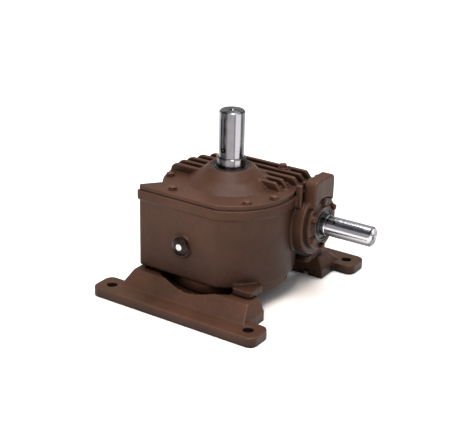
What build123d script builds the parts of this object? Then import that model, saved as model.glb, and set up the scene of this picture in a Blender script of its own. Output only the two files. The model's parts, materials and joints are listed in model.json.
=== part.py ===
from build123d import *
import os
from math import cos, pi, radians, sin, sqrt

os.makedirs("parts", exist_ok=True)

# Right-angle gearbox: a vertical output shaft on a round case, a horizontal input shaft
# that passes behind it, and two bolt-on foot rails. Millimetres, +Z up.
# The origin is the centre of the four foot holes, on the plane the feet stand on.
# -Y is the front, with the flat panel, and the input shaft points along +X.

# ---- driving dimensions ----
OUT_Y = -12.0                  # output axis: vertical, at (0, OUT_Y)
OFFSET = 54.0                  # the input axis passes this far behind the output axis
IN_Y = OUT_Y + OFFSET
IN_Z = 102.0

CASE_R = 92.5                  # round case
CASE_WALL = 9.5
CASE_BOTTOM = 37.0
LUG_SEAT = 33.0                # lugs of the case stand on the foot pads
SKIRT_R = 84.0                 # round skirt under the case
SKIRT_INNER_R = 74.0
SKIRT_END = 20.0
GUSSET_END = 10.0              # two gussets reach down behind the web of the front rail
CASE_TOP = 147.0
FLOOR_T = 9.0
RIM_H = 19.0                   # thick rim that takes the cover bolts
RIM_INNER_R = 76.0
PANEL_Y = -98.0                # flat front panel
WING_X = -96.0                 # left end of the panel
WING_ROOT = (-70.0, -66.0)     # where the wing runs back into the round case

COVER_T = 7.0
COVER_TOP = CASE_TOP + COVER_T
GASKET_T = 0.5
DOME_BASE_R = 61.0
DOME_SHOULDER_R = 44.5
DOME_TOP_R = 31.0
DOME_SHOULDER_Z = 165.5
DOME_TOP_Z = 178.0

FIN_TOP = 166.5
FIN_PITCH = 16.4
FIN_FIRST_Y = -8.0
FIN_T = 6.0
FIN_COUNT = 5
FIN_END_Z = 160.0              # where the rounded fin ends start to lean in
FIN_FLOOR = 157.0

NECK_R = 45.0                  # bearing necks of the input line
NECK_END = 109.0               # right neck face
LEFT_NECK_END = -100.0
END_PLATE_T = 9.0
END_PLATE_TOP = 169.0
END_PLATE_HALF = 26.0
HOOD_END = 117.5               # hood of the neck, over the top of the cap
CAP_R = 37.0
CAP_SCREW_R = 32.0
CAP_FACE = NECK_END + 6.5

FOOT_X = 111.0                 # foot holes, half spacings
FOOT_Y = 133.0
FOOT_HOLE_R = 7.0
FOOT_T = 14.0
RAIL_HALF_X = 131.0
RAIL_FRONT = 154.0
LUG_BACK = 112.0
WEB_TOP = 32.5
WEB_HALF_X = 93.0
WEB_FOOT_X = 101.0             # the web spreads to this half length at its foot
WEB_FRONT_TOP = 106.5
WEB_FRONT_FOOT = 128.0
WEB_BACK = 78.0
WEB_BACK_Y = -WEB_BACK         # back of the front rail's web
RELIEF_R = 101.0
RELIEF_Z = 19.0
PAD_X = 76.0                   # bolts that hold the case on the foot rails
PAD_Y = 87.0
PAD_INNER_X = 57.0
PAD_BOLT_SEAT = 12.0           # their heads stand in counterbores from below

OUT_R = 17.5                   # visible output journal
OUT_SEAT_R = 20.0
OUT_COLLAR_TOP = 191.0
OUT_TOP = 255.0
OUT_KEY_ANGLE = -99.0          # direction that the open keyway faces, from +X
IN_R = 14.0                    # visible input journal
IN_SEAT_R = 15.0
IN_COLLAR_END = 126.0
IN_END = 193.0
IN_KEY_ANGLE = 46.0            # turn of the open keyway from straight up, towards the front
WHEEL_TEETH = 30
PINION_TEETH = 15
MESH_X = 40.0
GAP = 0.3                      # between parts that turn against each other


# ---- small shape helpers ----
def cyl_z(r, z0, z1, x=0.0, y=OUT_Y):
    """Upright cylinder between two heights."""
    return Pos(x, y, (z0 + z1) / 2) * Cylinder(r, z1 - z0)


def cyl_x(r, x0, x1, y=IN_Y, z=IN_Z):
    """Cylinder along X between two stations."""
    return Pos((x0 + x1) / 2, y, z) * Rot(0, 90, 0) * Cylinder(r, x1 - x0)


def cyl_y(r, y0, y1, x, z):
    """Cylinder along Y between two stations."""
    return Pos(x, (y0 + y1) / 2, z) * Rot(90, 0, 0) * Cylinder(r, y1 - y0)


def block(x0, x1, y0, y1, z0, z1):
    """Box between two corners."""
    return Pos((x0 + x1) / 2, (y0 + y1) / 2, (z0 + z1) / 2) * Box(x1 - x0, y1 - y0, z1 - z0)


def cone_z(r0, r1, z0, z1, x=0.0, y=OUT_Y):
    """Upright cone frustum."""
    return Pos(x, y, (z0 + z1) / 2) * Cone(r0, r1, z1 - z0)


def cone_x(r0, r1, x0, x1, y=IN_Y, z=IN_Z):
    """Cone frustum along X."""
    return Pos((x0 + x1) / 2, y, z) * Rot(0, 90, 0) * Cone(r0, r1, x1 - x0)


def ring_places(count, r, start=0.0):
    """Evenly spaced points on a circle about (0, 0)."""
    step = 360.0 / count
    return [(r * cos(radians(start + i * step)), r * sin(radians(start + i * step))) for i in range(count)]


def hex_prism(across_flats, height):
    """Hexagonal prism standing on Z = 0, its rim chamfered."""
    body = extrude(RegularPolygon(across_flats / sqrt(3), 6), height)
    dome = Pos(0, 0, height / 2) * Cylinder(across_flats / 2 * 1.06, height)
    cap = Pos(0, 0, height) * Sphere(across_flats)
    return body & dome & Pos(0, 0, -across_flats * 0.985) * cap


def hex_bolt(d, head_af, head_h, length):
    """Hex bolt pointing down from a seat at Z = 0, with a washer face."""
    washer = Pos(0, 0, 0.75) * Cylinder(head_af * 0.62, 1.5)
    shank = Pos(0, 0, -length / 2) * Cylinder(d / 2 - 0.1, length)
    return washer + Pos(0, 0, 1.5) * hex_prism(head_af, head_h) + shank


def group(solids):
    """Several separate solids in one node."""
    return Compound(children=list(solids))


def write(name, shape):
    """One STEP file for each node."""
    export_step(shape, f"parts/{name}.step")


# ---- plan outlines ----
def wing_outline(grow=0.0):
    """Front panel and its left wing, with the drum behind them."""
    left = WING_X - grow
    front = PANEL_Y - grow
    pts = [(left, front), (34.0, front), (40.0, OUT_Y), (-60.0, OUT_Y), (WING_ROOT[0], WING_ROOT[1] + grow)]
    corner = make_face(Polyline(*pts, close=True))
    sharp = [v for v in corner.vertices() if v.X < left + 1 and v.Y < front + 1]
    return fillet(sharp, 4.0)


def case_outline(grow=0.0):
    """The drum cut off flat by the front panel, joined to the wing."""
    drum = Pos(0, OUT_Y) * Circle(CASE_R + grow)
    front_cut = Pos(0, PANEL_Y - grow - 50) * Rectangle(400, 100)
    return (drum - front_cut) + wing_outline(grow)


def slab(outline, z0, z1):
    """Outline extruded between two heights."""
    return Pos(0, 0, z0) * extrude(outline, z1 - z0)


def neck_tab():
    """Top rim over the right neck."""
    return Pos(45, IN_Y - 4) * RectangleRounded(90, 64, 8)


COVER_BOLT_R = 84.5
COVER_BOLT_ANGLES = [-14, -42, -122, -158, 76, 104]
COVER_BOLTS = [(COVER_BOLT_R * cos(radians(a)), OUT_Y + COVER_BOLT_R * sin(radians(a))) for a in COVER_BOLT_ANGLES]
COVER_BOLT_D = 6.0
LUG_T = 9.5
CAVITY_FLOOR = CASE_BOTTOM + FLOOR_T
LEVEL_AT = (-18.0, 84.0)       # X and Z of the oil level plug
LEVEL_SEAT = PANEL_Y - 4.5     # where its head starts
LEVEL_BOSS_R = 15.5
LEVEL_THREAD_R = 10.4
LEVEL_EYE_R = 6.5
DRAIN_Y = OUT_Y + 8.0          # drain plug, low on the left wall
DRAIN_Z = 54.0
DRAIN_BOSS = 3.0               # how far its boss stands out of the wall
DRAIN_SEAT = -CASE_R - DRAIN_BOSS - 1.5
BREATHER_AT = (46.0, FIN_FIRST_Y + 3.5 * FIN_PITCH)
OUT_SEAL_R = 26.0
IN_SEAL_R = 23.5
NECK_SCREW_R = 36.0            # screws of the blind cap
FLOOR_SCREW_R = 40.0           # screws of the bottom cover
PAD_BOLTS = [(sx * PAD_X, sy * PAD_Y) for sx in (-1, 1) for sy in (-1, 1)]

# bearings: bore radius, outer radius, width
OUT_BEARING = (20.0, 34.0, 15.0)
IN_BEARING = (15.0, 27.5, 13.0)
BACK_BEARING = (10.0, 26.0, 15.0)
LOWER_BEARING_Z = 33.0
UPPER_BEARING_Z = 150.0
IN_BEARING_X = 88.0
BACK_BEARING_X = -88.0


# ---- castings ----
def end_plate():
    """End plate of the right neck: round below, flat-topped above, with a hood over the cap."""
    x0 = NECK_END - END_PLATE_T
    upper = Pos(0, (END_PLATE_TOP - IN_Z) / 2) * RectangleRounded(2 * END_PLATE_HALF, END_PLATE_TOP - IN_Z, 9)
    face = upper + Circle(NECK_R)
    plane = Plane(origin=(x0, IN_Y, IN_Z), x_dir=(0, 1, 0), z_dir=(1, 0, 0))
    hood = extrude(plane * upper, HOOD_END - x0) - block(x0, HOOD_END, 0, 100, 0, IN_Z + 26)
    hood -= cyl_x(CAP_R + 1, NECK_END, HOOD_END + 1)
    return extrude(plane * face, END_PLATE_T) + hood


def neck_ribs():
    """Short ribs on the shoulder of the right neck, in line with the cover's fins."""
    ribs = []
    for i in range(4):
        y = FIN_FIRST_Y + (i + 1) * FIN_PITCH
        ribs.append(block(92.0, NECK_END - END_PLATE_T + 1, y - FIN_T / 2, y + FIN_T / 2, IN_Z + 30, 164.0))
    shoulder = block(92.0, NECK_END - END_PLATE_T + 1, IN_Y - 26, IN_Y + 26, IN_Z, 152.0)
    return [shoulder] + ribs


def gear_case():
    """Round case with its front panel, input necks, floor boss and four bolting lugs."""
    body = slab(case_outline(), CASE_BOTTOM, CASE_TOP)
    body += slab(case_outline(2.0), CASE_TOP - 13, CASE_TOP)
    body += slab(neck_tab(), CASE_TOP - 13, CASE_TOP)
    body += cyl_x(NECK_R, LEFT_NECK_END, NECK_END)
    body += end_plate()
    for rib in neck_ribs():
        body += rib
    body += cyl_z(SKIRT_R, SKIRT_END, CASE_BOTTOM + 2) - cyl_z(SKIRT_INNER_R, SKIRT_END - 1, CASE_BOTTOM)
    body += cyl_z(46.0, SKIRT_END, CASE_BOTTOM + 2)
    for sx in (-1, 1):
        front_lug = Pos(sx * (PAD_X - 3), -77.0) * RectangleRounded(30, 34, 5)
        rear_lug = Pos(sx * 72.0, 72.0) * RectangleRounded(40, 46, 6)
        body += slab(front_lug, LUG_SEAT, LUG_SEAT + LUG_T)
        body += slab(rear_lug, LUG_SEAT, LUG_SEAT + LUG_T)
        gusset_x = sx * 60.0
        body += block(gusset_x - 15, gusset_x + 15, WEB_BACK_Y + 1, -58.0, GUSSET_END, CASE_BOTTOM + 1)
    body += cyl_y(LEVEL_BOSS_R, LEVEL_SEAT + 1.5, PANEL_Y + 4, *LEVEL_AT)
    # cavity and the thicker rim
    round_cavity = cyl_z(CASE_R - CASE_WALL, CAVITY_FLOOR, CASE_TOP - RIM_H)
    body -= round_cavity - block(-100, 100, PANEL_Y - 20, PANEL_Y + CASE_WALL, 0, CASE_TOP)
    body -= cyl_z(RIM_INNER_R, CASE_TOP - RIM_H - 1, CASE_TOP + 30)
    body += cyl_z(42.0, CASE_BOTTOM, 52.0)
    body += cyl_x(12.0, -CASE_R - DRAIN_BOSS, -CASE_R + 12, DRAIN_Y, DRAIN_Z)
    # bores
    body -= cyl_z(OUT_BEARING[1], 10.0, LOWER_BEARING_Z + OUT_BEARING[2])
    body -= cyl_z(28.0, 10.0, 60.0)
    body -= cyl_x(IN_BEARING[1], IN_BEARING_X - 3, NECK_END + 5)
    body -= cyl_x(22.0, 40.0, NECK_END)
    body -= cyl_x(30.0, -62.0, 62.0)
    body -= cyl_x(BACK_BEARING[1], LEFT_NECK_END - 5, BACK_BEARING_X + BACK_BEARING[2])
    body -= cyl_x(20.0, LEFT_NECK_END, -40.0)
    # tapped holes
    for x, y in COVER_BOLTS:
        body -= cyl_z(COVER_BOLT_D / 2, CASE_TOP - 15, CASE_TOP + 1, x, y)
    for x, y in PAD_BOLTS:
        body -= cyl_z(5.0, LUG_SEAT - 1, LUG_SEAT + LUG_T - 1.5, x, y)
    body -= cyl_y(LEVEL_THREAD_R + 0.1, PANEL_Y - 10, PANEL_Y + 12, *LEVEL_AT)
    body -= cyl_x(6.0, -CASE_R - 5, -CASE_R + 22, DRAIN_Y, DRAIN_Z)
    for dy, dz in ring_places(6, CAP_SCREW_R, 30):
        body -= cyl_x(2.5, NECK_END - 8, NECK_END + 1, IN_Y + dy, IN_Z + dz)
    for dy, dz in ring_places(6, NECK_SCREW_R, 30):
        body -= cyl_x(2.9, LEFT_NECK_END - 1, LEFT_NECK_END + 12, IN_Y + dy, IN_Z + dz)
    for dx, dy in ring_places(6, FLOOR_SCREW_R, 0):
        body -= cyl_z(2.4, 19.0, 31.0, dx, OUT_Y + dy)
    return body


def fin(y, right_limit=80.0):
    """One upright cooling fin along X, with rounded-off ends that stay over the round rim."""
    reach = sqrt(CASE_R ** 2 - (y + FIN_T / 2 - OUT_Y) ** 2)
    left = 1.5 - reach
    over_neck = abs(y - IN_Y + 4) < 30 - FIN_T
    right = 89.0 if over_neck else min(reach - 3.0, right_limit)
    profile = Polyline((left, COVER_TOP - 2), (left + 1, FIN_END_Z), (left + 5, FIN_TOP - 2), (left + 10, FIN_TOP),
                       (right - 11, FIN_TOP), (right, FIN_TOP - 13), (right, COVER_TOP - 2), close=True)
    plane = Plane(origin=(0, y + FIN_T / 2, 0), x_dir=(1, 0, 0), z_dir=(0, -1, 0))
    return extrude(plane * make_face(profile), FIN_T)


def fin_floor():
    """Low hump between the fins."""
    depth = (FIN_COUNT - 1) * FIN_PITCH + FIN_T
    middle_y = FIN_FIRST_Y - FIN_T / 2 + depth / 2
    hump = Pos(-4, middle_y) * Rectangle(150, depth)
    return slab(hump & (Pos(0, OUT_Y) * Circle(CASE_R - 9)), COVER_TOP - 2, FIN_FLOOR)


def dome_profile_cone():
    """Bearing dome of the cover."""
    low = cone_z(DOME_BASE_R, DOME_SHOULDER_R, COVER_TOP - 1, DOME_SHOULDER_Z)
    high = cone_z(DOME_SHOULDER_R, DOME_TOP_R, DOME_SHOULDER_Z, DOME_TOP_Z)
    return low + high


def top_cover():
    """Cover plate with the output bearing dome and the cooling fins."""
    z0 = CASE_TOP + GASKET_T
    body = slab(case_outline(), z0, COVER_TOP) + slab(neck_tab(), z0, COVER_TOP)
    body += fin_floor()
    body += fin(FIN_FIRST_Y - FIN_PITCH, -DOME_TOP_R)
    for i in range(FIN_COUNT):
        body += fin(FIN_FIRST_Y + i * FIN_PITCH)
    body -= cyl_z(DOME_TOP_R, COVER_TOP, FIN_TOP + 10)
    body += dome_profile_cone()
    body += cyl_z(9.5, COVER_TOP - 1, FIN_TOP - 3, *BREATHER_AT)
    body -= cyl_z(9.5, FIN_TOP - 3, FIN_TOP + 3, *BREATHER_AT)
    body += cyl_z(42.0, 144.0, z0 + 1)
    body -= cyl_z(OUT_BEARING[1], 140.0, UPPER_BEARING_Z + OUT_BEARING[2])
    body -= cyl_z(23.0, 140.0, 171.0)
    body -= cyl_z(OUT_SEAL_R, 169.0, 190.0)
    for x, y in COVER_BOLTS:
        body -= cyl_z(COVER_BOLT_D / 2 + 0.4, z0 - 1, COVER_TOP + 1, x, y)
    body -= cyl_z(5.0, z0 - 1, FIN_TOP + 1, *BREATHER_AT)
    return body


def cover_gasket():
    """Flat gasket under the cover."""
    body = slab(case_outline(), CASE_TOP, CASE_TOP + GASKET_T) + slab(neck_tab(), CASE_TOP, CASE_TOP + GASKET_T)
    body -= cyl_z(RIM_INNER_R, CASE_TOP - 1, CASE_TOP + 1)
    for x, y in COVER_BOLTS:
        body -= cyl_z(COVER_BOLT_D / 2 + 0.4, CASE_TOP - 1, CASE_TOP + 1, x, y)
    return body


def foot_rail():
    """Front foot rail: two lugs, a raised web with a sloping face, and two pads under the case."""
    plan = Pos(0, -(RAIL_FRONT + LUG_BACK) / 2) * RectangleRounded(2 * RAIL_HALF_X, RAIL_FRONT - LUG_BACK, 11)
    body = slab(plan, 0, FOOT_T)
    profile = Polyline((-RAIL_FRONT + 8, 0), (-RAIL_FRONT + 8, FOOT_T), (-WEB_FRONT_FOOT, FOOT_T),
                       (-WEB_FRONT_TOP, WEB_TOP), (-WEB_BACK, WEB_TOP), (-WEB_BACK, 0), close=True)
    plane = Plane(origin=(-WEB_FOOT_X, 0, 0), x_dir=(0, 1, 0), z_dir=(1, 0, 0))
    web = extrude(plane * make_face(profile), 2 * WEB_FOOT_X)
    ends = Polyline((-WEB_FOOT_X, -1), (-WEB_FOOT_X, FOOT_T), (-WEB_HALF_X, WEB_TOP + 1),
                    (WEB_HALF_X, WEB_TOP + 1), (WEB_FOOT_X, FOOT_T), (WEB_FOOT_X, -1), close=True)
    end_plane = Plane(origin=(0, 0, 0), x_dir=(1, 0, 0), z_dir=(0, -1, 0))
    body += web & extrude(end_plane * make_face(ends), RAIL_FRONT)
    body -= cyl_z(RELIEF_R, RELIEF_Z, WEB_TOP + 10)
    for sx in (-1, 1):
        # the web stays whole under the pads
        middle = sx * (PAD_INNER_X + WEB_HALF_X) / 2
        half = (WEB_HALF_X - PAD_INNER_X) / 2
        body += block(middle - half, middle + half, -WEB_FRONT_TOP, -WEB_BACK, RELIEF_Z - 1, WEB_TOP)
        body -= cyl_z(FOOT_HOLE_R, -1, FOOT_T + 1, sx * FOOT_X, -FOOT_Y)
        body -= cyl_z(5.5, -1, WEB_TOP + 1, sx * PAD_X, -PAD_Y)
        body -= cyl_z(9.5, -1, PAD_BOLT_SEAT, sx * PAD_X, -PAD_Y)
    return body


def foot_bolts():
    """Bolts that come up through the foot pads into the case lugs."""
    bolts = []
    for x, y in PAD_BOLTS:
        bolts.append(Pos(x, y, PAD_BOLT_SEAT) * Rot(180, 0, 0) * hex_bolt(10, 15, 6, 28))
    return group(bolts)


# ---- covers, seals, plugs and small fasteners ----
def input_cap():
    """Bearing cap around the input shaft."""
    body = cyl_x(CAP_R, NECK_END + GASKET_T, CAP_FACE)
    body += cone_x(26.5, 25.5, CAP_FACE - 1, CAP_FACE + 3.5)
    body += cyl_x(IN_BEARING[1] - 0.1, IN_BEARING_X + IN_BEARING[2], NECK_END + GASKET_T + 1)
    body -= cyl_x(19.0, IN_BEARING_X, CAP_FACE + 5)
    body -= cyl_x(IN_SEAL_R, CAP_FACE - 4, CAP_FACE + 5)
    for dy, dz in ring_places(6, CAP_SCREW_R, 30):
        body -= cyl_x(2.9, NECK_END - 1, CAP_FACE + 5, IN_Y + dy, IN_Z + dz)
    return body


def cap_gasket(x0, outer_r, inner_r, bolt_r, hole_r):
    """Flat gasket ring on a neck face."""
    body = cyl_x(outer_r, x0, x0 + GASKET_T) - cyl_x(inner_r, x0 - 1, x0 + 1)
    for dy, dz in ring_places(6, bolt_r, 30):
        body -= cyl_x(hole_r, x0 - 1, x0 + 1, IN_Y + dy, IN_Z + dz)
    return body


def blind_cap():
    """Closed cap on the left neck."""
    face = LEFT_NECK_END - GASKET_T
    body = cyl_x(44.0, face - 7, face)
    body += cyl_x(BACK_BEARING[1] - 0.1, face - 1, BACK_BEARING_X)
    body += cone_x(24.0, 28.0, face - 11, face - 6)
    body -= cyl_x(16.0, face, BACK_BEARING_X + 1)
    for dy, dz in ring_places(6, NECK_SCREW_R, 30):
        body -= cyl_x(3.3, face - 12, face + 1, IN_Y + dy, IN_Z + dz)
    return body


def bottom_cover():
    """Blind cover under the lower output bearing."""
    body = cyl_z(45.5, 13.5, 19.5)
    body += cyl_z(OUT_BEARING[1] - 0.1, 18.5, LOWER_BEARING_Z)
    body -= cyl_z(24.0, 24.0, LOWER_BEARING_Z + 1)
    for dx, dy in ring_places(6, FLOOR_SCREW_R, 0):
        body -= cyl_z(2.9, 12.0, 20.0, dx, OUT_Y + dy)
    return body


def bottom_gasket():
    """Gasket ring of the bottom cover."""
    body = cyl_z(45.5, 19.5, 20.0) - cyl_z(34.0, 19.0, 20.5)
    for dx, dy in ring_places(6, FLOOR_SCREW_R, 0):
        body -= cyl_z(2.9, 19.0, 20.5, dx, OUT_Y + dy)
    return body


def neck_screws(seat_x, side, bolt_r, size, head_af, length):
    """Six hex screws on a neck cap; side is +1 on the right and -1 on the left."""
    screws = []
    for dy, dz in ring_places(6, bolt_r, 30):
        place = Pos(seat_x, IN_Y + dy, IN_Z + dz) * Rot(0, side * 90, 0)
        screws.append(place * hex_bolt(size, head_af, 3.6, length))
    return group(screws)


def bottom_screws():
    """Six screws of the bottom cover."""
    screws = []
    for dx, dy in ring_places(6, FLOOR_SCREW_R, 0):
        screws.append(Pos(dx, OUT_Y + dy, 13.5) * Rot(180, 0, 0) * hex_bolt(4.6, 8, 3, 15))
    return group(screws)


def cover_bolts():
    """Hex bolts around the cover."""
    return group([Pos(x, y, COVER_TOP) * hex_bolt(COVER_BOLT_D, 10, 3.6, 19) for x, y in COVER_BOLTS])


def lip_seal_z(shaft_r, outer_r, z0, z1):
    """Rotary shaft seal on the output shaft."""
    body = cyl_z(outer_r, z0, z1) - cyl_z(shaft_r + GAP, z0 - 1, z1 + 1)
    return body - (cyl_z(outer_r - 2, z1 - 1.5, z1 + 1) - cyl_z(shaft_r + 2.4, z1 - 3, z1 + 2))


def lip_seal_x(shaft_r, outer_r, x0, x1):
    """Rotary shaft seal on the input shaft."""
    body = cyl_x(outer_r, x0, x1) - cyl_x(shaft_r + GAP, x0 - 1, x1 + 1)
    return body - (cyl_x(outer_r - 2, x1 - 1.5, x1 + 1) - cyl_x(shaft_r + 2.4, x1 - 3, x1 + 2))


def level_plug():
    """Oil level plug in the front panel, its hexagon recessed for the sight glass."""
    at_x, at_z = LEVEL_AT
    body = cyl_y(LEVEL_THREAD_R, LEVEL_SEAT, PANEL_Y + 8, at_x, at_z)
    body += Pos(at_x, LEVEL_SEAT, at_z) * Rot(90, 0, 0) * hex_prism(25, 5)
    eye = Pos(at_x, LEVEL_SEAT - 5, at_z) * Rot(90, 0, 0) * Cylinder(LEVEL_EYE_R, 1.6)
    return body - eye


def level_washer():
    """Sealing washer of the level plug."""
    ring = cyl_y(14.4, LEVEL_SEAT, LEVEL_SEAT + 1.5, *LEVEL_AT)
    return ring - cyl_y(LEVEL_THREAD_R + 0.1, LEVEL_SEAT - 1, LEVEL_SEAT + 2, *LEVEL_AT)


def drain_plug():
    """Drain plug low on the left wall."""
    body = cyl_x(5.9, DRAIN_SEAT, DRAIN_SEAT + 17, DRAIN_Y, DRAIN_Z)
    return body + Pos(DRAIN_SEAT, DRAIN_Y, DRAIN_Z) * Rot(0, -90, 0) * hex_prism(13, 6)


def drain_washer():
    """Sealing washer between the drain plug and its boss."""
    ring = cyl_x(8.5, DRAIN_SEAT, DRAIN_SEAT + 1.5, DRAIN_Y, DRAIN_Z)
    return ring - cyl_x(6.0, DRAIN_SEAT - 1, DRAIN_SEAT + 2, DRAIN_Y, DRAIN_Z)


def breather_plug():
    """Breather screwed into its boss among the fins."""
    x, y = BREATHER_AT
    seat = FIN_TOP - 3
    body = cyl_z(4.9, seat - 12, seat + 1, x, y)
    body += Pos(x, y, seat) * hex_prism(13, 4)
    return body + cone_z(5.5, 4.5, seat + 3.5, seat + 8, x, y)


# ---- rolling bearings ----
def ball_size(bearing):
    """Ball radius and ball circle radius of a deep groove bearing."""
    bore, outer = bearing[:2]
    return (outer - bore) * 0.29, (outer + bore) / 2


def bearing_z(bearing):
    """Outer ring, inner ring, cage and balls of a bearing about Z, its lower face on Z = 0."""
    bore, outer, width = bearing
    ball_r, circle_r = ball_size(bearing)
    middle = Pos(0, 0, width / 2)
    groove = middle * Torus(circle_r, ball_r + GAP)
    land = (outer - bore) * 0.3
    outer_ring = middle * (Cylinder(outer, width) - Cylinder(outer - land, width + 2)) - groove
    inner_ring = middle * (Cylinder(bore + land, width) - Cylinder(bore, width + 2)) - groove
    count = int(2 * pi * circle_r / (2.6 * ball_r))
    cage_t = (outer - bore) * 0.12
    cage_w = ball_r * 2.5
    cage = middle * (Cylinder(circle_r + cage_t, cage_w) - Cylinder(circle_r - cage_t, cage_w + 2))
    balls = []
    for i in range(count):
        place = Rot(0, 0, i * 360.0 / count) * Pos(circle_r, 0, width / 2)
        cage -= place * Rot(0, 90, 0) * Cylinder(ball_r + 0.2, 6 * cage_t)
        balls.append(place * Sphere(ball_r))
    return outer_ring, inner_ring, cage, balls


# ---- shafts and gears ----
def keyway(length, width, depth):
    """Round-ended keyway cutter along X, its floor at Z = 0."""
    return extrude(SlotOverall(length, width), depth)


def output_journal():
    """Visible end of the output shaft about its own axis, its keyway facing +X."""
    body = cyl_z(OUT_R, OUT_COLLAR_TOP - 1, OUT_TOP - 2, 0, 0)
    body += cone_z(OUT_R, OUT_R - 2, OUT_TOP - 2, OUT_TOP, 0, 0)
    body -= cone_z(1.0, 4.5, OUT_TOP - 7, OUT_TOP + 0.01, 0, 0)
    slot_place = Pos(OUT_R - 5, 0, (OUT_COLLAR_TOP + OUT_TOP) / 2) * Rot(0, 90, 0)
    return body - slot_place * keyway(50, 10, 8)


def output_shaft():
    """Output shaft with its collar, its end, and the keyway of the crown wheel."""
    body = cyl_z(OUT_SEAT_R, LOWER_BEARING_Z, OUT_COLLAR_TOP - 1.5)
    body += cone_z(OUT_SEAT_R, OUT_SEAT_R - 1.5, OUT_COLLAR_TOP - 1.5, OUT_COLLAR_TOP)
    body += Pos(0, OUT_Y, 0) * Rot(0, 0, OUT_KEY_ANGLE) * output_journal()
    return body - Pos(OUT_SEAT_R - 5, OUT_Y, 72.0) * Rot(0, 90, 0) * keyway(20.2, 12.2, 8)


def wheel_key():
    """Key between the output shaft and the crown wheel."""
    return Pos(OUT_SEAT_R - 4.9, OUT_Y, 72.0) * Rot(0, 90, 0) * extrude(SlotOverall(20, 12), 8)


def crown_tooth():
    """One tooth of the crown wheel, on a line that passes OFFSET from the axis."""
    root, tip = 2.6, 1.5
    profile = Polyline((-root / 2, 79.0), (root / 2, 79.0), (tip / 2, 84.0), (-tip / 2, 84.0), close=True)
    plane = Plane(origin=(MESH_X - 7, OFFSET, 0), x_dir=(0, 1, 0), z_dir=(1, 0, 0))
    return extrude(plane * make_face(profile), 14.0)


def crown_wheel():
    """Crown wheel with offset teeth on its upper face."""
    body = Pos(0, 0, 71.5) * Cylinder(74.0, 8) + Pos(0, 0, 76.9) * (Cylinder(74.0, 5.0) - Cylinder(61.5, 6.0))
    body += Pos(0, 0, 71) * Cylinder(32.0, 22)
    rim_cut = Pos(0, 0, 69) * (Cylinder(60.0, 6) - Cylinder(36.0, 6))
    body -= rim_cut
    tooth = crown_tooth()
    for i in range(WHEEL_TEETH):
        body += Rot(0, 0, i * 360.0 / WHEEL_TEETH) * tooth
    body -= Pos(0, 0, 71) * Cylinder(OUT_SEAT_R, 40)
    body = Pos(0, OUT_Y, 0) * body
    return body - Pos(OUT_SEAT_R - 5, OUT_Y, 72.0) * Rot(0, 90, 0) * extrude(Rectangle(40, 12), 8.4)


def output_spacer(z0, z1):
    """Sleeve between the wheel hub and a bearing."""
    return cyl_z(25.0, z0, z1) - cyl_z(OUT_SEAT_R, z0 - 1, z1 + 1)


def input_shaft():
    """Stepped input shaft with its collar, open keyway and centre hole."""
    body = cyl_x(10.0, BACK_BEARING_X - 1, -70.0)
    body += cyl_x(12.0, -71.0, 50.0)
    body += cyl_x(14.0, MESH_X + 7, 81.0)
    body += cyl_x(18.0, 80.0, IN_BEARING_X)
    body += cyl_x(IN_SEAT_R, IN_BEARING_X - 1, IN_COLLAR_END - 1)
    body += cone_x(IN_SEAT_R, IN_SEAT_R - 1, IN_COLLAR_END - 1, IN_COLLAR_END)
    body += cyl_x(IN_R, IN_COLLAR_END - 2, IN_END - 2)
    body += cone_x(IN_R, IN_R - 2, IN_END - 2, IN_END)
    body -= cone_x(1.0, 3.8, IN_END - 6, IN_END + 0.01)
    key_place = Pos((IN_COLLAR_END + IN_END) / 2, IN_Y, IN_Z) * Rot(IN_KEY_ANGLE, 0, 0)
    body -= key_place * Pos(0, 0, IN_R - 4) * keyway(46, 8, 8)
    body -= Pos(MESH_X, IN_Y, IN_Z + 12.0 - 3.5) * keyway(12.2, 6.2, 8)
    return body


def pinion_key():
    """Key between the input shaft and the pinion."""
    return Pos(MESH_X, IN_Y, IN_Z + 12.0 - 3.4) * extrude(SlotOverall(12, 6), 6)


def pinion():
    """Bevel pinion of the offset pair."""
    body = Cylinder(17.2, 14)
    root, tip = 2.6, 1.5
    profile = Polyline((16.5, -root / 2), (22.2, -tip / 2), (22.2, tip / 2), (16.5, root / 2), close=True)
    tooth = Pos(0, 0, -6) * extrude(make_face(profile), 12)
    step = 360.0 / PINION_TEETH
    for i in range(PINION_TEETH):
        body += Rot(0, 0, (i + 0.5) * step) * tooth
    body -= Cylinder(12.0, 40)
    body = Pos(MESH_X, IN_Y, IN_Z) * Rot(0, 90, 0) * body
    return body - block(MESH_X - 10, MESH_X + 10, IN_Y - 3.1, IN_Y + 3.1, IN_Z + 8, IN_Z + 15.0)


def input_spacer():
    """Long sleeve between the pinion and the left bearing."""
    return cyl_x(14.5, -71.0, MESH_X - 7) - cyl_x(12.0, -72.0, MESH_X)


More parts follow.
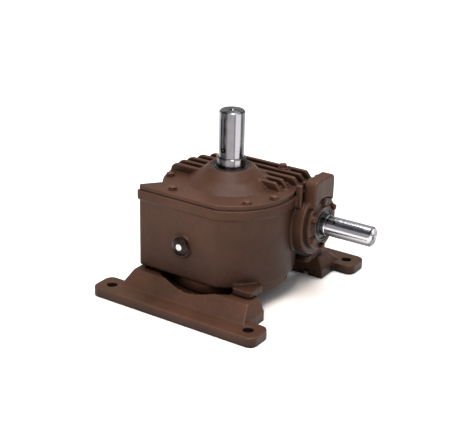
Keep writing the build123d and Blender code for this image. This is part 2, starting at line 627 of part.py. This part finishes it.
def main():
    write("gear_case", gear_case())
    write("top_cover", top_cover())
    write("cover_gasket", cover_gasket())
    write("cover_bolts", cover_bolts())
    front = foot_rail()
    write("front_foot", front)
    write("rear_foot", Rot(0, 0, 180) * front)
    write("foot_bolts", foot_bolts())
    write("input_cap", input_cap())
    write("input_cap_gasket", cap_gasket(NECK_END, CAP_R, IN_BEARING[1], CAP_SCREW_R, 2.9))
    write("input_cap_screws", neck_screws(CAP_FACE, 1, CAP_SCREW_R, 5, 8, 13.5))
    write("blind_cap", blind_cap())
    write("blind_cap_gasket", cap_gasket(LEFT_NECK_END - GASKET_T, 44.0, BACK_BEARING[1], NECK_SCREW_R, 3.3))
    write("blind_cap_screws", neck_screws(LEFT_NECK_END - GASKET_T - 7, -1, NECK_SCREW_R, 5.6, 10, 18))
    write("bottom_cover", bottom_cover())
    write("bottom_gasket", bottom_gasket())
    write("bottom_cover_screws", bottom_screws())
    write("output_seal", lip_seal_z(OUT_SEAT_R, OUT_SEAL_R, 170.5, 177.0))
    write("input_seal", lip_seal_x(IN_SEAT_R, IN_SEAL_R, CAP_FACE - 4, CAP_FACE + 2.5))
    write("oil_level_plug", level_plug())
    write("oil_level_washer", level_washer())
    write("drain_plug", drain_plug())
    write("drain_washer", drain_washer())
    write("breather_plug", breather_plug())
    write("output_shaft", output_shaft())
    write("crown_wheel", crown_wheel())
    write("wheel_key", wheel_key())
    write("lower_spacer", output_spacer(LOWER_BEARING_Z + 15, 60.0))
    write("upper_spacer", output_spacer(82.0, UPPER_BEARING_Z))
    write("input_shaft", input_shaft())
    write("pinion", pinion())
    write("pinion_key", pinion_key())
    write("input_spacer", input_spacer())
    places = {
        "output_lower": (OUT_BEARING, Pos(0, OUT_Y, LOWER_BEARING_Z)),
        "output_upper": (OUT_BEARING, Pos(0, OUT_Y, UPPER_BEARING_Z)),
        "input_front": (IN_BEARING, Pos(IN_BEARING_X, IN_Y, IN_Z) * Rot(0, 90, 0)),
        "input_back": (BACK_BEARING, Pos(BACK_BEARING_X, IN_Y, IN_Z) * Rot(0, 90, 0)),
    }
    for name, (bearing, place) in places.items():
        outer_ring, inner_ring, cage, balls = bearing_z(bearing)
        write(f"{name}_outer_ring", place * outer_ring)
        write(f"{name}_inner_ring", place * inner_ring)
        write(f"{name}_cage", place * cage)
        write(f"{name}_balls", group([place * ball for ball in balls]))


main()
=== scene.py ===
import json
from math import cos, radians, sin

import bmesh
import bpy
from mathutils import Matrix, Vector


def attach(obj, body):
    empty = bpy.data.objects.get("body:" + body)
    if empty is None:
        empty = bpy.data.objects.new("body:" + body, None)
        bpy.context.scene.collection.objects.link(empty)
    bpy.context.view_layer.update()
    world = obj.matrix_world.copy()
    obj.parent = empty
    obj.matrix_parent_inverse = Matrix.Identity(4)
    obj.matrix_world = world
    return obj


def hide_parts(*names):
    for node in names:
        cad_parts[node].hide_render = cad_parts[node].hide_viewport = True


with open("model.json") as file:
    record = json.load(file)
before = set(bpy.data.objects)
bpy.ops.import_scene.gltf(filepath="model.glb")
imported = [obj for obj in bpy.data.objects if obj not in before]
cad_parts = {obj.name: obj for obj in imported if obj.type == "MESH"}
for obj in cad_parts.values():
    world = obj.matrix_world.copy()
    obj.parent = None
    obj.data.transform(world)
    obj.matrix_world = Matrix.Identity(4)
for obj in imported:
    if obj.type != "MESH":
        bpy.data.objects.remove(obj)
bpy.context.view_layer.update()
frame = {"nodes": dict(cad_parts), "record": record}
scene = bpy.context.scene
scene.view_settings.view_transform = "Standard"


# ---- node helpers ----
def new_material(name, colour, roughness, metallic=0.0):
    """A Principled material; returns the material, its nodes, a link function and the shader."""
    material = bpy.data.materials.new(name)
    material.use_nodes = True
    nodes = material.node_tree.nodes
    shader = nodes["Principled BSDF"]
    shader.inputs["Base Color"].default_value = (*colour, 1)
    shader.inputs["Roughness"].default_value = roughness
    shader.inputs["Metallic"].default_value = metallic
    return material, nodes, material.node_tree.links.new, shader


def noise(nodes, link, coords, scale, detail=3.0, roughness=0.55, stretch=None):
    """Noise in object space, optionally stretched along an axis."""
    source = coords
    if stretch:
        mapping = nodes.new("ShaderNodeMapping")
        mapping.inputs["Scale"].default_value = stretch
        link(coords, mapping.inputs["Vector"])
        source = mapping.outputs["Vector"]
    texture = nodes.new("ShaderNodeTexNoise")
    texture.inputs["Scale"].default_value = scale
    texture.inputs["Detail"].default_value = detail
    texture.inputs["Roughness"].default_value = roughness
    link(source, texture.inputs["Vector"])
    return texture.outputs["Fac"]


def ramp(nodes, link, value, stops):
    """Colour ramp from a list of (position, colour)."""
    node = nodes.new("ShaderNodeValToRGB")
    elements = node.color_ramp.elements
    for index, (position, colour) in enumerate(stops):
        element = elements[index] if index < 2 else elements.new(position)
        element.position = position
        element.color = (*colour, 1)
    link(value, node.inputs["Fac"])
    return node.outputs["Color"]


def span(nodes, link, value, low, high, to_low, to_high):
    """Value mapped from one range to another, clamped."""
    node = nodes.new("ShaderNodeMapRange")
    for socket, number in zip(("From Min", "From Max", "To Min", "To Max"), (low, high, to_low, to_high)):
        node.inputs[socket].default_value = number
    link(value, node.inputs["Value"])
    return node.outputs["Result"]


def mix(nodes, link, factor, first, second, mode="MIX"):
    """Colour mix of two sockets or colours."""
    node = nodes.new("ShaderNodeMix")
    node.data_type = "RGBA"
    node.blend_type = mode
    plugs = {"Factor_Float": factor, "A_Color": first, "B_Color": second}
    for socket in node.inputs:
        if socket.identifier in plugs:
            value = plugs[socket.identifier]
            if isinstance(value, bpy.types.NodeSocket):
                link(value, socket)
            else:
                socket.default_value = value
    return [s for s in node.outputs if s.identifier == "Result_Color"][0]


def bump(nodes, link, height, strength, distance, below=None):
    """Bump node, chained on another one."""
    node = nodes.new("ShaderNodeBump")
    node.inputs["Strength"].default_value = strength
    node.inputs["Distance"].default_value = distance
    link(height, node.inputs["Height"])
    if below:
        link(below, node.inputs["Normal"])
    return node.outputs["Normal"]


# ---- materials ----
BROWN_DEEP = (0.018, 0.008, 0.006)
BROWN = (0.0410, 0.0204, 0.0130)
BROWN_WARM = (0.070, 0.0322, 0.0205)
# lighter brown of convex edges: worn paint and painted highlight
BROWN_WORN_LIT = (0.15, 0.080, 0.055)
BOLT_BROWN = (0.050, 0.023, 0.015)
BOLT_WARM = (0.080, 0.037, 0.024)
GROUND_STEEL = (0.5, 0.5, 0.54)
GROUND_WORN = (0.30, 0.30, 0.32)
GROUND_ROUGHNESS = 0.15
CASE_FOOT = 0.034              # height where the case starts, just above the foot rails
LOW_SHADE_TOP = 0.110              # height where the painted shade low on the case ends
LOW_SHADE_TONE = 0.58              # brightness of the paint where the painted shade is deepest
CREVICE_SHADE_REACH = 0.022          # how far a neighbouring surface reaches with the painted shade in crevices
CREVICE_SHADE_SAMPLES = 8
# noise scales, in waves for each metre
DRIFT = 14.0
WAVE = 34.0
CLOUD = 60.0
PEEL = 190.0
METAL_GRAIN = 300.0
SMEAR = 350.0
SPECK = 420.0
RUBBER_GRAIN = 500.0
SAND = 700.0
GRIND = 900.0


def painted_low_shade(nodes, link, coords):
    """Painted shade low on the case: the paint is darker towards the bottom, fades upwards and leaves the
    feet alone.
    """
    split = nodes.new("ShaderNodeSeparateXYZ")
    link(coords, split.inputs["Vector"])
    rise = span(nodes, link, split.outputs["Z"], CASE_FOOT, LOW_SHADE_TOP, 0.0, 1.0)
    dark = (LOW_SHADE_TONE, LOW_SHADE_TONE, LOW_SHADE_TONE)
    return ramp(nodes, link, rise, [(0.0, (1, 1, 1)), (0.03, dark), (1.0, (1, 1, 1))])


def painted_casting(name, body=BROWN, warm=BROWN_WARM):
    """Brown enamel sprayed over a sand casting, with painted shade in crevices and low on the case, and
    convex edges lightened for worn paint and painted highlight.
    """
    material, nodes, link, shader = new_material(name, body, 0.4)
    coords = nodes.new("ShaderNodeTexCoord").outputs["Object"]
    drift = noise(nodes, link, coords, DRIFT, 4.0)
    colour = ramp(nodes, link, drift, [(0.30, body), (0.72, warm)])
    speck = noise(nodes, link, coords, SPECK, 2.0)
    colour = mix(nodes, link, span(nodes, link, speck, 0.58, 0.74, 0.0, 0.35), colour, (*BROWN_DEEP, 1))
    pointiness = nodes.new("ShaderNodeNewGeometry").outputs["Pointiness"]
    # convex edges lightened: worn paint and painted highlight
    edge = span(nodes, link, pointiness, 0.515, 0.60, 0.0, 0.55)
    colour = mix(nodes, link, edge, colour, (*BROWN_WORN_LIT, 1))
    # painted shade: ambient occlusion darkens the paint in crevices and recesses
    occlusion = nodes.new("ShaderNodeAmbientOcclusion")
    occlusion.samples = CREVICE_SHADE_SAMPLES
    occlusion.inputs["Distance"].default_value = CREVICE_SHADE_REACH
    shade = span(nodes, link, occlusion.outputs["AO"], 0.30, 0.90, 0.15, 1.0)
    colour = mix(nodes, link, 1.0, colour, shade, "MULTIPLY")
    # painted shade: the case's paint is darker towards its bottom
    colour = mix(nodes, link, 1.0, colour, painted_low_shade(nodes, link, coords), "MULTIPLY")
    link(colour, shader.inputs["Base Color"])
    gloss = noise(nodes, link, coords, CLOUD, 3.0)
    link(span(nodes, link, gloss, 0.3, 0.7, 0.30, 0.46), shader.inputs["Roughness"])
    shader.inputs["Specular IOR Level"].default_value = 0.10
    shader.inputs["Coat Weight"].default_value = 0.04
    shader.inputs["Coat Roughness"].default_value = 0.25
    sand = bump(nodes, link, noise(nodes, link, coords, SAND, 2.0), 0.30, 0.0006)
    peel = bump(nodes, link, noise(nodes, link, coords, PEEL, 2.0), 0.28, 0.0012, sand)
    wave = bump(nodes, link, noise(nodes, link, coords, WAVE, 2.0), 0.25, 0.004, peel)
    link(wave, shader.inputs["Normal"])
    return material


def round_shaft(nodes, link, coords, node, along):
    """Fraction of a turn round a shaft node's own axis, which runs along Z or X."""
    corners = [Vector(c) for c in frame["nodes"][node].bound_box]
    centre = sum(corners, Vector()) / len(corners)
    shift = nodes.new("ShaderNodeMapping")
    shift.inputs["Location"].default_value = -centre
    link(coords, shift.inputs["Vector"])
    split = nodes.new("ShaderNodeSeparateXYZ")
    link(shift.outputs["Vector"], split.inputs["Vector"])
    join = nodes.new("ShaderNodeCombineXYZ")
    across = ("X", "Y") if along == "Z" else ("Y", "Z")
    for source, target in zip(across, ("X", "Y")):
        link(split.outputs[source], join.inputs[target])
    turn = nodes.new("ShaderNodeTexGradient")
    turn.gradient_type = "RADIAL"
    link(join.outputs["Vector"], turn.inputs["Vector"])
    return turn.outputs["Fac"]


def ground_steel(name, node, along, rings, reflection_tones):
    """Ground steel with fine lines round the shaft and painted reflections: light and dark bands along it,
    the darkest lying over the keyway as painted shade.
    """
    material, nodes, link, shader = new_material(name, GROUND_STEEL, GROUND_ROUGHNESS, 1.0)
    coords = nodes.new("ShaderNodeTexCoord").outputs["Object"]
    lines = noise(nodes, link, coords, GRIND, 3.0, 0.6, rings)
    # painted reflections: greys fixed at places round the shaft, turning with it
    painted_reflections = [(place, (grey, grey, grey * 1.08)) for place, grey in reflection_tones]
    reflections_and_wear = ramp(nodes, link, round_shaft(nodes, link, coords, node, along), painted_reflections)
    wear = noise(nodes, link, coords, CLOUD, 4.0)
    reflections_and_wear = mix(nodes, link, span(nodes, link, wear, 0.35, 0.70, 0.0, 0.25), reflections_and_wear, (*GROUND_WORN, 1))
    link(reflections_and_wear, shader.inputs["Base Color"])
    smooth, rough = GROUND_ROUGHNESS * 0.7, GROUND_ROUGHNESS * 1.7
    link(span(nodes, link, lines, 0.3, 0.7, smooth, rough), shader.inputs["Roughness"])
    link(bump(nodes, link, lines, 0.10, 0.0002), shader.inputs["Normal"])
    return material


def plain_metal(name, colour, roughness):
    """Machined or plated metal with a fine grain."""
    material, nodes, link, shader = new_material(name, colour, roughness, 1.0)
    coords = nodes.new("ShaderNodeTexCoord").outputs["Object"]
    grainy = noise(nodes, link, coords, METAL_GRAIN, 3.0)
    dark = tuple(c * 0.6 for c in colour)
    link(ramp(nodes, link, grainy, [(0.3, dark), (0.6, colour)]), shader.inputs["Base Color"])
    link(span(nodes, link, grainy, 0.3, 0.7, roughness * 0.7, roughness * 1.4), shader.inputs["Roughness"])
    link(bump(nodes, link, grainy, 0.15, 0.0003), shader.inputs["Normal"])
    return material


def rubber(name, colour, roughness):
    """Matt moulded rubber or fibre gasket."""
    material, nodes, link, shader = new_material(name, colour, roughness)
    coords = nodes.new("ShaderNodeTexCoord").outputs["Object"]
    grainy = noise(nodes, link, coords, RUBBER_GRAIN, 3.0)
    light = tuple(c * 2.2 for c in colour)
    link(ramp(nodes, link, grainy, [(0.35, colour), (0.75, light)]), shader.inputs["Base Color"])
    link(bump(nodes, link, grainy, 0.3, 0.0004), shader.inputs["Normal"])
    return material


paint = painted_casting("brown_enamel")
paint_bolts = painted_casting("brown_enamel_bolts", BOLT_BROWN, BOLT_WARM)
MATERIALS = {
    "cast_paint": paint,
    "zinc_fasteners": paint_bolts,
    "gasket": rubber("gasket_fibre", (0.022, 0.011, 0.008), 0.8),
    "seal_rubber": rubber("seal_rubber", (0.012, 0.012, 0.013), 0.45),
    "plug_steel": plain_metal("plug_dark_steel", (0.035, 0.028, 0.028), 0.38),
    "washer_metal": plain_metal("washer_dark", (0.09, 0.055, 0.04), 0.45),
    "gear_steel": plain_metal("gear_steel", (0.33, 0.33, 0.34), 0.35),
    "bearing_steel": plain_metal("bearing_steel", (0.6, 0.6, 0.62), 0.15),
    "cage_brass": plain_metal("cage_brass", (0.5, 0.35, 0.14), 0.35),
}
# stretch of the grinding lines, which run round each shaft
UPRIGHT_LINES = (0.04, 0.04, 1.0)
LEVEL_LINES = (1.0, 0.04, 0.04)
# painted reflections along each shaft, the darkest over the keyway as painted shade: the fraction of a turn
# and the grey there
UPRIGHT_REFLECTIONS = [(0.00, 0.10), (0.10, 0.20), (0.16, 0.24), (0.180, 0.20), (0.190, 0.02), (0.270, 0.02),
                 (0.295, 0.15), (0.365, 0.18), (0.378, 0.07), (0.393, 0.40), (0.45, 0.44), (0.465, 0.05),
                 (0.49, 0.06), (0.52, 0.14), (0.60, 0.06), (0.75, 0.27), (0.88, 0.08)]
LEVEL_REFLECTIONS = [(0.00, 0.60), (0.04, 0.46), (0.08, 0.11), (0.14, 0.06), (0.20, 0.19), (0.30, 0.06),
               (0.45, 0.38), (0.55, 0.09), (0.63, 0.30), (0.70, 0.20), (0.78, 0.66), (0.83, 0.50),
               (0.840, 0.04), (0.908, 0.04), (0.922, 0.60)]
SHAFT_MATERIALS = {
    "output_shaft": ground_steel("steel_upright", "output_shaft", "Z", UPRIGHT_LINES, UPRIGHT_REFLECTIONS),
    "input_shaft": ground_steel("steel_level", "input_shaft", "X", LEVEL_LINES, LEVEL_REFLECTIONS),
}


def dress(piece, material):
    """One material in every slot of a piece."""
    piece.data.materials.clear()
    piece.data.materials.append(material)


def finish_cad_nodes():
    """Gives each CAD node the material of its slot."""
    for entry in frame["record"]["subparts"]:
        node = entry["node"]
        material = SHAFT_MATERIALS.get(node) or MATERIALS[entry["material_slot"]]
        for slot in frame["nodes"][node].material_slots:
            slot.material = material


# ---- castings with soft sand-cast edges ----
VOXEL = 0.0012                 # mesh size of the castings' skin
WELD = 1e-6                    # vertices closer than this are joined
# smoothing passes over each casting
SOFTENING = {"gear_case": 7, "top_cover": 4, "front_foot": 8, "rear_foot": 8,
             "input_cap": 4, "blind_cap": 4, "bottom_cover": 4}


def cast_piece(node, passes):
    """Copy of a CAD casting with its edges rounded as a sand casting's are; it stands for the node."""
    mesh = frame["nodes"][node].data.copy()
    mesh.name = node + "_cast"
    shell = bmesh.new()
    shell.from_mesh(mesh)
    bmesh.ops.remove_doubles(shell, verts=shell.verts, dist=WELD)
    shell.to_mesh(mesh)
    shell.free()
    piece = bpy.data.objects.new(node + "_cast", mesh)
    scene.collection.objects.link(piece)
    remesh = piece.modifiers.new("skin", "REMESH")
    remesh.mode = "VOXEL"
    remesh.voxel_size = VOXEL
    soften = piece.modifiers.new("soften", "SMOOTH")
    soften.factor = 0.5
    soften.iterations = passes
    final = bpy.data.meshes.new_from_object(piece.evaluated_get(bpy.context.evaluated_depsgraph_get()))
    piece.modifiers.clear()
    piece.data = final
    final.name = node + "_cast"
    if "sharp_edge" in final.attributes:
        final.attributes.remove(final.attributes["sharp_edge"])
    final.shade_smooth()
    dress(piece, paint)
    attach(piece, "housing")
    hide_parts(node)


# ---- the sight glass of the oil level plug ----
LENS_SEGMENTS = 32
LENS_AT = (-0.018, -0.10675, 0.084)
LENS_R = 0.0046
LENS_RISE = 0.0014


def sight_glass():
    """Domed glass button in the recess of the oil level plug."""
    shell = bmesh.new()
    bmesh.ops.create_uvsphere(shell, u_segments=LENS_SEGMENTS, v_segments=LENS_SEGMENTS // 2, radius=1.0)
    bmesh.ops.scale(shell, vec=(LENS_R, LENS_RISE, LENS_R), verts=shell.verts)
    mesh = bpy.data.meshes.new("sight_glass")
    shell.to_mesh(mesh)
    shell.free()
    mesh.shade_smooth()
    piece = bpy.data.objects.new("sight_glass", mesh)
    scene.collection.objects.link(piece)
    piece.location = LENS_AT
    material, nodes, link, shader = new_material("sight_glass", (0.72, 0.72, 0.70), 0.08)
    coords = nodes.new("ShaderNodeTexCoord").outputs["Object"]
    smear = noise(nodes, link, coords, SMEAR, 3.0)
    link(ramp(nodes, link, smear, [(0.35, (0.45, 0.44, 0.41)), (0.60, (0.80, 0.80, 0.78))]),
         shader.inputs["Base Color"])
    link(span(nodes, link, smear, 0.3, 0.7, 0.05, 0.16), shader.inputs["Roughness"])
    dress(piece, material)
    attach(piece, "housing")


# ---- floor, light and camera ----
FLOOR_HALF = 6.0
FLOOR_WHITE = (0.94, 0.94, 0.94)
LIT_MIDDLE = (0, 0, 0.1)
WORLD_STRENGTH = 0.45
SKY_AT = (0.0, 0.3, 4.0)
SKY_SIDE = 3.0
SKY_POWER = 200
KEY_AT = (0.2, -0.9, 1.3)
KEY_SIDE = 0.6
KEY_POWER = 18
KEY_COLOUR = (1.0, 0.84, 0.74)


def floor():
    """Plain pale floor."""
    mesh = bpy.data.meshes.new("floor")
    half = FLOOR_HALF
    corners = [(-half, -half, 0), (half, -half, 0), (half, half, 0), (-half, half, 0)]
    mesh.from_pydata(corners, [], [(0, 1, 2, 3)])
    piece = bpy.data.objects.new("floor", mesh)
    scene.collection.objects.link(piece)
    dress(piece, new_material("pale_floor", FLOOR_WHITE, 0.6)[0])


def area_light(name, place, side, power, colour=(1, 1, 1)):
    """Square area light aimed at the middle of the object."""
    data = bpy.data.lights.new(name, "AREA")
    data.size = side
    data.energy = power
    data.color = colour
    light = bpy.data.objects.new(name, data)
    scene.collection.objects.link(light)
    light.location = place
    light.rotation_euler = (Vector(LIT_MIDDLE) - Vector(place)).to_track_quat("-Z", "Y").to_euler()


def lights():
    """Soft studio light: a white world, a wide light overhead and a small warm one in front."""
    world = bpy.data.worlds.new("studio")
    scene.world = world
    world.use_nodes = True
    background = world.node_tree.nodes["Background"]
    background.inputs["Color"].default_value = (1, 1, 1, 1)
    background.inputs["Strength"].default_value = WORLD_STRENGTH
    area_light("sky", SKY_AT, SKY_SIDE, SKY_POWER)
    area_light("key", KEY_AT, KEY_SIDE, KEY_POWER, KEY_COLOUR)


CAMERA_AZIMUTH = radians(32.6)
CAMERA_ELEVATION = radians(22.7)
CAMERA_ROLL = radians(1.6)
CAMERA_DISTANCE = 1.54375
CAMERA_ASIDE = (-0.00832, -0.08827)
CAMERA_LENS = 82.94
CAMERA_SENSOR = 36.0
CAMERA_REACH = 30.0
SHAFT_AXIS = Vector((0.00195, -0.01157, 0.0))


def camera():
    """Camera at the picture's angle, aimed beside the foot of the output shaft's axis."""
    right = Vector((cos(CAMERA_AZIMUTH), sin(CAMERA_AZIMUTH), 0))
    back = Vector((sin(CAMERA_AZIMUTH) * cos(CAMERA_ELEVATION), -cos(CAMERA_AZIMUTH) * cos(CAMERA_ELEVATION),
                   sin(CAMERA_ELEVATION)))
    up = back.cross(right)
    data = bpy.data.cameras.new("camera")
    data.lens = CAMERA_LENS
    data.sensor_width = CAMERA_SENSOR
    data.clip_end = CAMERA_REACH
    piece = bpy.data.objects.new("camera", data)
    scene.collection.objects.link(piece)
    place = SHAFT_AXIS + back * CAMERA_DISTANCE - right * CAMERA_ASIDE[0] - up * CAMERA_ASIDE[1]
    turn = Matrix((right, up, back)).transposed().to_4x4() @ Matrix.Rotation(CAMERA_ROLL, 4, "Z")
    piece.matrix_world = Matrix.Translation(place) @ turn
    scene.camera = piece


finish_cad_nodes()
for node, passes in SOFTENING.items():
    cast_piece(node, passes)
sight_glass()
floor()
lights()
camera()
